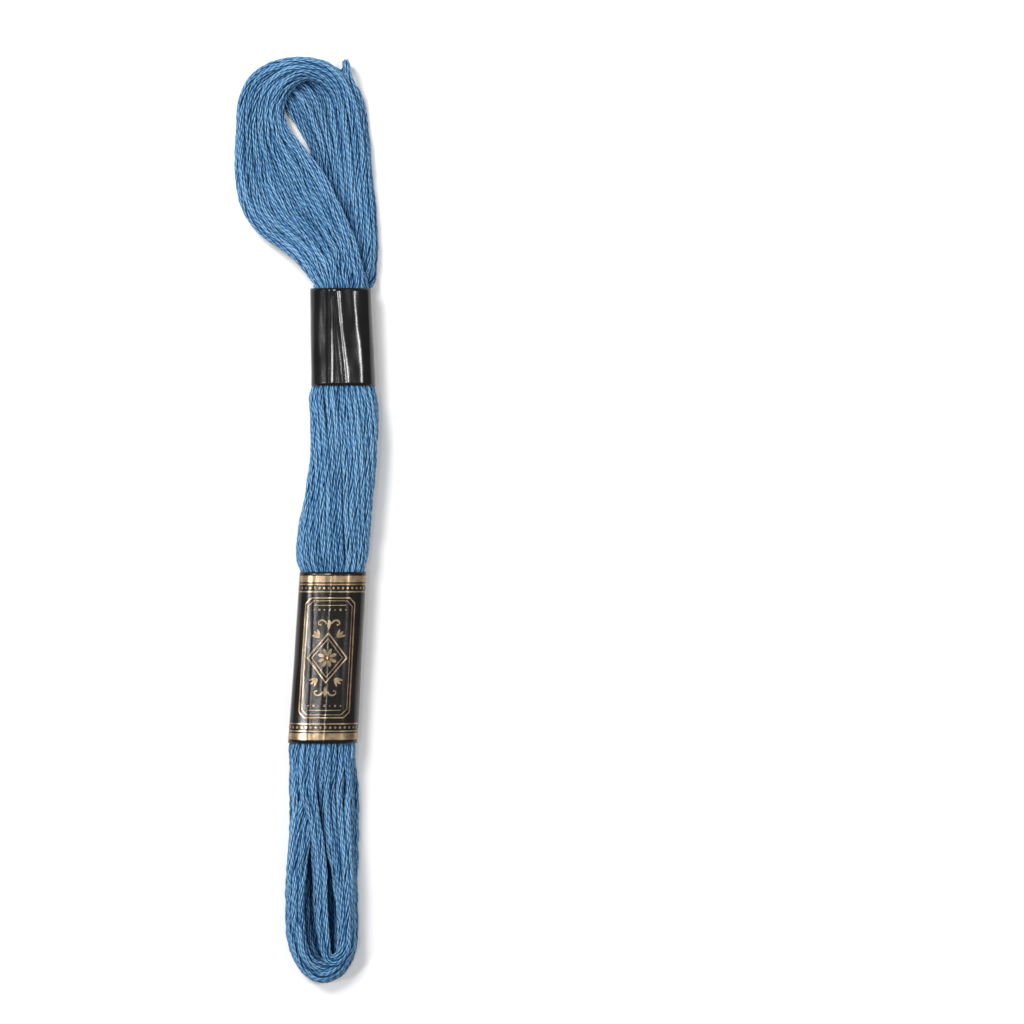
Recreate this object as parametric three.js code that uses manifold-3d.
// A pull skein of six-strand embroidery floss, lying on its back on a flat surface.
//
// One long thread is wound into a flat ring of 24 turns. Two paper bands squeeze the two sides of
// the ring into one bundle, so the ring is left open only at its ends: a wide loop that lies turned
// to one side at the top, and a narrow loop at the bottom. The hank is one solid, with ridges that
// run the way the thread runs. Each band is a thin closed sleeve around it.
//
// Units are millimetres. +X is across the skein, +Y runs from its narrow loop to its wide loop,
// and +Z is up. The origin is on the surface that the skein rests on, below its middle.

import * as THREE from "three";
import { mergeVertices } from "three/addons/utils/BufferGeometryUtils.js";
import Module from "manifold-3d";

// Driving dimensions
const RIDGE_PITCH = 1.9; // two threads side by side
const RIDGE_DEPTH = 0.3;
const SECTION_SQUARENESS = 2.6; // exponent of the outline: 2 is an ellipse, more is boxier
const OUTLINE_SAMPLES = 240;
const SEAM_TOLERANCE = 0.03;
const WELD_DISTANCE = 0.001;

const BAND_WALL = 0.4;
const BAND_HEIGHT = 6.6;
const BAND_SIDES = 44;
const BAND_PRESS = 0.1; // how much of a band's round underside is pressed flat on the surface

// Each band's axis runs from its narrow-loop end to its wide-loop end.
const UPPER_BAND = {
  name: "upper_band",
  colour: 0x151516,
  ends: [
    { x: 6.5, y: 23.8, width: 11.4 },
    { x: 6.1, y: 41.1, width: 10.8 },
  ],
};
const LOWER_BAND = {
  name: "lower_band",
  colour: 0x1c1817,
  ends: [
    { x: 2.9, y: -39.6, width: 12.3 },
    { x: 4.7, y: -9.2, width: 11.8 },
  ],
};
const FLOSS_COLOUR = 0x5f93c4;

// The bundle where both sides of the ring lie together, from the wide loop down.
// left and right are its edges, bottom and top its lowest and highest points. Where bottom is below
// the surface, the underside is pressed flat on it.
const TRUNK = [
  { y: 39.5, left: 1.6, right: 10.6, bottom: 0.7, top: 5.9 },
  { y: 32.0, left: 1.6, right: 10.9, bottom: 0.7, top: 5.9 },
  { y: 24.6, left: 1.6, right: 11.4, bottom: 0.7, top: 5.9 },
  { y: 22.6, left: 1.0, right: 12.3, bottom: 0.3, top: 6.4 },
  { y: 19.6, left: 0.7, right: 12.9, bottom: -0.4, top: 6.8 },
  { y: 14.2, left: 0.7, right: 12.5, bottom: -0.4, top: 7.0 },
  { y: 7.1, left: 0.2, right: 11.9, bottom: -0.4, top: 7.0 },
  { y: 0.5, left: -0.9, right: 11.5, bottom: -0.4, top: 7.0 },
  { y: -4.5, left: -1.6, right: 11.3, bottom: -0.4, top: 6.9 },
  { y: -7.4, left: -1.3, right: 10.8, bottom: 0.3, top: 6.5 },
  { y: -10.2, left: -0.4, right: 9.8, bottom: 0.7, top: 5.9 },
  { y: -18.0, left: -0.9, right: 9.4, bottom: 0.7, top: 5.9 },
  { y: -28.0, left: -1.6, right: 8.9, bottom: 0.7, top: 5.9 },
  { y: -38.6, left: -2.4, right: 8.3, bottom: 0.7, top: 5.9 },
  { y: -41.0, left: -3.3, right: 8.9, bottom: 0.3, top: 6.1 },
  { y: -45.0, left: -3.4, right: 9.2, bottom: -0.3, top: 5.8 },
  { y: -50.0, left: -3.0, right: 9.4, bottom: -0.3, top: 5.0 },
  { y: -55.0, left: -2.6, right: 8.6, bottom: -0.3, top: 3.9 },
];

// The loops are ribbons of thread. Each row is one section of a ribbon, as it runs: the outer edge,
// the inner edge, the height of the ribbon's middle at each edge, and its thickness.
//
// Wide loop, upper layer: out of the upper band at the left, round the eye, back at the right.
const WIDE_LOOP = [
  { outer: [1.9, 37.5], inner: [10.3, 37.5], heights: [4.2, 4.2], thick: 2.8 },
  { outer: [1.9, 41.2], inner: [10.3, 41.4], heights: [4.2, 4.3], thick: 2.8 },
  { outer: [-0.5, 44.1], inner: [9.4, 48.3], heights: [3.5, 4.5], thick: 2.7 },
  { outer: [-3.8, 47.4], inner: [7.5, 53.5], heights: [2.7, 4.4], thick: 2.5 },
  { outer: [-8.0, 50.0], inner: [5.4, 58.4], heights: [2.0, 4.1], thick: 2.4 },
  { outer: [-11.0, 53.2], inner: [3.4, 61.9], heights: [1.5, 3.8], thick: 2.3 },
  { outer: [-12.6, 57.0], inner: [1.5, 64.6], heights: [1.3, 3.4], thick: 2.3 },
  { outer: [-13.2, 61.5], inner: [-0.8, 67.1], heights: [1.2, 2.8], thick: 2.3 },
  { outer: [-13.1, 66.5], inner: [-2.8, 69.4], heights: [1.2, 2.2], thick: 2.3 },
  { outer: [-12.8, 71.4], inner: [-3.7, 71.4], heights: [1.2, 2.1], thick: 2.5 },
  { outer: [-12.3, 75.4], inner: [-3.8, 73.2], heights: [1.4, 2.4], thick: 2.8 },
  { outer: [-10.9, 78.8], inner: [-3.5, 74.7], heights: [1.7, 2.8], thick: 3.1 },
  { outer: [-8.4, 81.0], inner: [-2.7, 76.0], heights: [1.9, 3.1], thick: 3.4 },
  { outer: [-5.4, 82.2], inner: [-1.6, 77.4], heights: [2.1, 3.3], thick: 3.5 },
  { outer: [-2.2, 82.6], inner: [-0.2, 78.2], heights: [2.2, 3.3], thick: 3.5 },
  { outer: [0.8, 82.3], inner: [1.4, 78.4], heights: [2.2, 3.2], thick: 3.4 },
  { outer: [3.6, 81.6], inner: [2.8, 78.1], heights: [2.1, 3.0], thick: 3.2 },
  { outer: [6.0, 80.8], inner: [4.0, 77.1], heights: [1.9, 2.6], thick: 3.0 },
  { outer: [7.9, 79.2], inner: [4.8, 75.4], heights: [1.6, 2.2], thick: 2.7 },
  { outer: [9.3, 76.0], inner: [5.3, 73.2], heights: [1.3, 1.6], thick: 2.4 },
  { outer: [10.5, 71.6], inner: [5.8, 70.2], heights: [1.2, 1.3], thick: 2.3 },
  { outer: [11.1, 66.2], inner: [6.3, 65.3], heights: [1.2, 1.2], thick: 2.3 },
  { outer: [11.5, 60.2], inner: [6.9, 59.6], heights: [1.2, 1.2], thick: 2.3 },
  { outer: [12.0, 53.8], inner: [7.9, 53.4], heights: [1.2, 1.2], thick: 2.3 },
  { outer: [12.3, 47.8], inner: [8.4, 47.6], heights: [1.3, 1.3], thick: 2.4 },
  { outer: [11.3, 43.8], inner: [7.2, 43.6], heights: [1.8, 1.8], thick: 2.5 },
  { outer: [10.1, 41.2], inner: [6.0, 41.2], heights: [2.3, 2.3], thick: 2.6 },
  { outer: [10.1, 37.5], inner: [5.4, 37.5], heights: [2.4, 2.4], thick: 2.6 },
];

// Wide loop, lower layer: it turns tightly under the upper layer, and comes out right of the eye.
const UNDER_LOOP = [
  { outer: [-7.6, 78.6], inner: [-4.6, 74.2], heights: [1.2, 1.2], thick: 1.8 },
  { outer: [-4.4, 80.2], inner: [-3.6, 75.2], heights: [1.1, 1.1], thick: 1.8 },
  { outer: [-0.8, 80.6], inner: [-2.9, 74.6], heights: [1.0, 1.0], thick: 1.8 },
  { outer: [2.6, 79.2], inner: [-2.6, 73.7], heights: [1.0, 1.0], thick: 1.8 },
  { outer: [4.8, 76.4], inner: [-2.2, 72.4], heights: [1.0, 1.0], thick: 1.9 },
  { outer: [5.7, 72.6], inner: [-1.4, 70.8], heights: [1.1, 1.0], thick: 2.0 },
  { outer: [6.2, 68.4], inner: [-0.4, 68.4], heights: [1.1, 1.1], thick: 2.1 },
  { outer: [6.8, 63.6], inner: [0.8, 64.6], heights: [1.1, 1.1], thick: 2.1 },
  { outer: [7.8, 57.4], inner: [2.0, 58.3], heights: [1.1, 1.1], thick: 2.1 },
  { outer: [8.6, 50.7], inner: [3.0, 51.2], heights: [1.1, 1.1], thick: 2.1 },
  { outer: [8.4, 44.6], inner: [2.8, 44.6], heights: [1.6, 1.6], thick: 2.4 },
  { outer: [7.8, 41.2], inner: [2.2, 41.2], heights: [2.3, 2.3], thick: 2.5 },
  { outer: [7.8, 37.5], inner: [2.2, 37.5], heights: [2.4, 2.4], thick: 2.5 },
];

// Narrow loop, outside turns: down the left, round the end, up the right.
const NARROW_LOOP = [
  { outer: [-3.2, -43.0], inner: [-0.2, -43.0], heights: [2.6, 3.2], thick: 4.4 },
  { outer: [-3.0, -49.8], inner: [0.1, -49.8], heights: [2.2, 2.6], thick: 4.2 },
  { outer: [-2.8, -56.0], inner: [0.4, -56.0], heights: [2.0, 2.2], thick: 3.9 },
  { outer: [-3.3, -62.2], inner: [0.3, -62.2], heights: [1.9, 2.0], thick: 3.7 },
  { outer: [-3.6, -68.3], inner: [0.0, -68.5], heights: [1.9, 1.9], thick: 3.6 },
  { outer: [-3.2, -74.0], inner: [0.2, -73.6], heights: [1.9, 1.9], thick: 3.6 },
  { outer: [-2.1, -78.4], inner: [0.9, -76.7], heights: [1.9, 1.9], thick: 3.6 },
  { outer: [0.1, -81.4], inner: [2.0, -78.3], heights: [1.9, 1.9], thick: 3.6 },
  { outer: [2.8, -82.5], inner: [3.3, -78.8], heights: [1.9, 1.9], thick: 3.6 },
  { outer: [5.4, -81.4], inner: [4.6, -78.4], heights: [1.9, 1.9], thick: 3.6 },
  { outer: [7.2, -78.4], inner: [5.5, -76.9], heights: [1.9, 2.0], thick: 3.7 },
  { outer: [8.4, -73.6], inner: [5.8, -74.0], heights: [1.9, 2.0], thick: 3.8 },
  { outer: [8.8, -67.6], inner: [5.6, -68.3], heights: [1.9, 2.1], thick: 3.9 },
  { outer: [9.0, -61.5], inner: [5.1, -62.2], heights: [2.0, 2.2], thick: 4.0 },
  { outer: [9.2, -55.6], inner: [4.3, -56.0], heights: [2.2, 2.4], thick: 4.3 },
  { outer: [9.4, -49.8], inner: [3.4, -49.8], heights: [2.4, 2.8], thick: 4.6 },
  { outer: [9.0, -43.0], inner: [3.0, -43.0], heights: [2.7, 3.2], thick: 4.8 },
];

// Narrow loop, short turns: a lock that lies on top between the two sides and joins the right one.
const SHORT_TURNS = [
  { outer: [-0.2, -43.0], inner: [3.5, -43.0], heights: [3.7, 3.8], thick: 2.8 },
  { outer: [0.2, -50.0], inner: [3.6, -50.0], heights: [3.4, 3.4], thick: 2.7 },
  { outer: [0.6, -56.0], inner: [3.8, -56.0], heights: [3.1, 3.1], thick: 2.6 },
  { outer: [0.8, -62.2], inner: [4.0, -62.2], heights: [2.9, 2.9], thick: 2.5 },
  { outer: [0.9, -68.0], inner: [3.9, -68.0], heights: [2.8, 2.8], thick: 2.4 },
  { outer: [1.5, -72.2], inner: [3.7, -71.6], heights: [2.7, 2.7], thick: 2.3 },
  { outer: [2.4, -75.4], inner: [3.8, -74.2], heights: [2.7, 2.7], thick: 2.2 },
  { outer: [3.5, -77.5], inner: [4.3, -75.7], heights: [2.6, 2.6], thick: 2.2 },
  { outer: [5.0, -78.2], inner: [5.0, -76.2], heights: [2.6, 2.6], thick: 2.1 },
  { outer: [6.5, -76.8], inner: [5.7, -75.1], heights: [2.5, 2.5], thick: 2.0 },
];

// Narrow loop, lowest turns: a thin layer on the surface that closes the loop from below.
const LOWEST_TURNS = [
  { outer: [-0.8, -48.0], inner: [6.0, -48.0], heights: [0.9, 0.9], thick: 1.8 },
  { outer: [-0.8, -58.0], inner: [6.0, -58.0], heights: [0.7, 0.7], thick: 1.5 },
  { outer: [-0.8, -67.0], inner: [6.3, -67.0], heights: [0.6, 0.6], thick: 1.3 },
  { outer: [-0.3, -73.0], inner: [6.4, -73.0], heights: [0.6, 0.6], thick: 1.3 },
  { outer: [0.4, -78.2], inner: [6.2, -78.2], heights: [0.7, 0.7], thick: 1.4 },
];

const wasm = await Module();
wasm.setup();

// A closed outline of equally spaced points on a superellipse of half sizes 1, as [across, up]
// pairs. Its spacing is worked out for the given real half sizes, so that ridges keep their pitch.
function outlinePoints(halfWidth, halfThick, count) {
  const power = 2 / SECTION_SQUARENESS;
  const curve = [];
  for (let i = 0; i <= OUTLINE_SAMPLES; i++) {
    const angle = (2 * Math.PI * i) / OUTLINE_SAMPLES;
    const [c, s] = [Math.cos(angle), Math.sin(angle)];
    curve.push([
      Math.sign(c) * Math.abs(c) ** power,
      Math.sign(s) * Math.abs(s) ** power,
    ]);
  }
  const lengths = [0];
  for (let i = 1; i < curve.length; i++) {
    const across = (curve[i][0] - curve[i - 1][0]) * halfWidth;
    const up = (curve[i][1] - curve[i - 1][1]) * halfThick;
    lengths.push(lengths[i - 1] + Math.hypot(across, up));
  }
  const points = [];
  let i = 0;
  for (let n = 0; n < count; n++) {
    const target = (lengths.at(-1) * n) / count;
    while (lengths[i + 1] < target) i++;
    const share = (target - lengths[i]) / (lengths[i + 1] - lengths[i]);
    points.push([
      THREE.MathUtils.lerp(curve[i][0], curve[i + 1][0], share),
      THREE.MathUtils.lerp(curve[i][1], curve[i + 1][1], share),
    ]);
  }
  return points;
}

// One section of the hank between two edge points, ridged: every other point lies deeper.
function ridgedSection(outer, inner, thick, count) {
  const middle = outer.clone().add(inner).multiplyScalar(0.5);
  const half = inner.clone().sub(outer).multiplyScalar(0.5);
  const halfWidth = half.length();
  const halfThick = thick / 2;
  return outlinePoints(halfWidth, halfThick, count).map(([across, up], i) => {
    const depth = i % 2 ? RIDGE_DEPTH : 0;
    const point = middle
      .clone()
      .addScaledVector(half, across * (1 - depth / halfWidth));
    point.z += up * (halfThick - depth);
    point.z = Math.max(point.z, 0);
    return point;
  });
}

// A closed solid through a list of sections with the same number of points, capped at both ends.
function loft(sections) {
  const count = sections[0].length;
  const vertices = sections.flat();
  const faces = [];
  for (let row = 0; row + 1 < sections.length; row++)
    for (let i = 0; i < count; i++) {
      const a = row * count + i;
      const b = row * count + ((i + 1) % count);
      faces.push([a, b, b + count], [a, b + count, a + count]);
    }
  for (const [row, reversed] of [[0, true], [sections.length - 1, false]]) {
    const centre = new THREE.Vector3();
    sections[row].forEach((p) => centre.addScaledVector(p, 1 / count));
    vertices.push(centre);
    for (let i = 0; i < count; i++) {
      const a = row * count + i;
      const b = row * count + ((i + 1) % count);
      faces.push(reversed ? [b, a, vertices.length - 1] : [a, b, vertices.length - 1]);
    }
  }
  return { vertices, faces };
}

// A closed surface's vertices and faces as a geometry that faces out.
function closedGeometry({ vertices, faces }) {
  const volume = faces.reduce(
    (sum, [a, b, c]) => sum + vertices[a].dot(vertices[b].clone().cross(vertices[c])),
    0,
  );
  const outward = volume > 0 ? faces : faces.map(([a, b, c]) => [a, c, b]);
  return new THREE.BufferGeometry().setFromPoints(vertices).setIndex(outward.flat());
}

function toManifold(geometry) {
  const welded = mergeVertices(geometry, WELD_DISTANCE);
  return new wasm.Manifold(
    new wasm.Mesh({
      numProp: 3,
      vertProperties: welded.attributes.position.array,
      triVerts: new Uint32Array(welded.index.array),
    }),
  );
}

function toGeometry(manifold) {
  const { vertProperties, triVerts } = manifold.getMesh();
  const geometry = new THREE.BufferGeometry();
  geometry.setAttribute("position", new THREE.BufferAttribute(vertProperties, 3));
  geometry.setIndex(new THREE.BufferAttribute(triVerts, 1));
  return geometry;
}

// The outside skin alone: the slivers along the seams where ribbons meet are merged away, and the
// pockets sealed between overlapping ribbons are filled.
function outsideSkin(manifold) {
  const smooth = toManifold(toGeometry(manifold.simplify(SEAM_TOLERANCE)));
  return smooth.decompose().reduce((a, b) => (a.volume() > b.volume() ? a : b));
}

// A ribbon of the hank: smooth curves through its rows' edges and thicknesses, lofted.
function ribbon(rows, stepsPerRow = 2) {
  const smooth = (points) =>
    new THREE.CatmullRomCurve3(points, false, "catmullrom", 0.5);
  const outer = smooth(
    rows.map((r) => new THREE.Vector3(...r.outer, r.heights[0])),
  );
  const inner = smooth(
    rows.map((r) => new THREE.Vector3(...r.inner, r.heights[1])),
  );
  const thick = smooth(rows.map((r) => new THREE.Vector3(r.thick, 0, 0)));
  const widest = Math.max(
    ...rows.map((r) => Math.hypot(r.outer[0] - r.inner[0], r.outer[1] - r.inner[1]) + r.thick),
  );
  const ridges = Math.round((2 * widest) / RIDGE_PITCH);
  const steps = (rows.length - 1) * stepsPerRow;
  const sections = [];
  for (let i = 0; i <= steps; i++) {
    const at = i / steps;
    sections.push(
      ridgedSection(outer.getPoint(at), inner.getPoint(at), thick.getPoint(at).x, 2 * ridges),
    );
  }
  return toManifold(closedGeometry(loft(sections)));
}

function trunk() {
  return ribbon(
    TRUNK.map(({ y, left, right, bottom, top }) => ({
      outer: [left, y],
      inner: [right, y],
      heights: [(bottom + top) / 2, (bottom + top) / 2],
      thick: top - bottom,
    })),
    1,
  );
}

function hankMesh() {
  const solid = [WIDE_LOOP, UNDER_LOOP, NARROW_LOOP, SHORT_TURNS, LOWEST_TURNS]
    .map((rows) => ribbon(rows))
    .reduce((joined, piece) => joined.add(piece), trunk());
  return namedMesh("floss_hank", toGeometry(outsideSkin(solid)), FLOSS_COLOUR, 0.75);
}

// A paper band: a closed sleeve whose section is a superellipse, pressed flat where it stands.
function bandMesh({ name, colour, ends }) {
  const middle = (BAND_HEIGHT - BAND_PRESS) / 2;
  const halfHeight = (BAND_HEIGHT + BAND_PRESS) / 2;
  const ring = ({ x, y, width }, inset) =>
    outlinePoints(width / 2, halfHeight, BAND_SIDES).map(
      ([across, up]) =>
        new THREE.Vector3(
          x + across * (width / 2 - inset),
          y,
          Math.max(middle + up * (halfHeight - inset), inset),
        ),
    );
  const rings = [
    ring(ends[0], 0),
    ring(ends[1], 0),
    ring(ends[1], BAND_WALL),
    ring(ends[0], BAND_WALL),
  ];
  const faces = [];
  rings.forEach((_, r) => {
    const next = (r + 1) % rings.length;
    for (let i = 0; i < BAND_SIDES; i++) {
      const j = (i + 1) % BAND_SIDES;
      const [a, b] = [r * BAND_SIDES + i, r * BAND_SIDES + j];
      const [c, d] = [next * BAND_SIDES + i, next * BAND_SIDES + j];
      faces.push([a, b, d], [a, d, c]);
    }
  });
  const geometry = closedGeometry({ vertices: rings.flat(), faces });
  return namedMesh(name, geometry, colour, 0.25);
}

function namedMesh(name, geometry, colour, roughness) {
  geometry.computeVertexNormals();
  const material = new THREE.MeshStandardMaterial({
    color: colour,
    roughness,
    metalness: 0,
  });
  const mesh = new THREE.Mesh(geometry, material);
  mesh.name = name;
  return mesh;
}

const skein = new THREE.Group();
skein.add(hankMesh(), bandMesh(UPPER_BAND), bandMesh(LOWER_BAND));

export default skein;
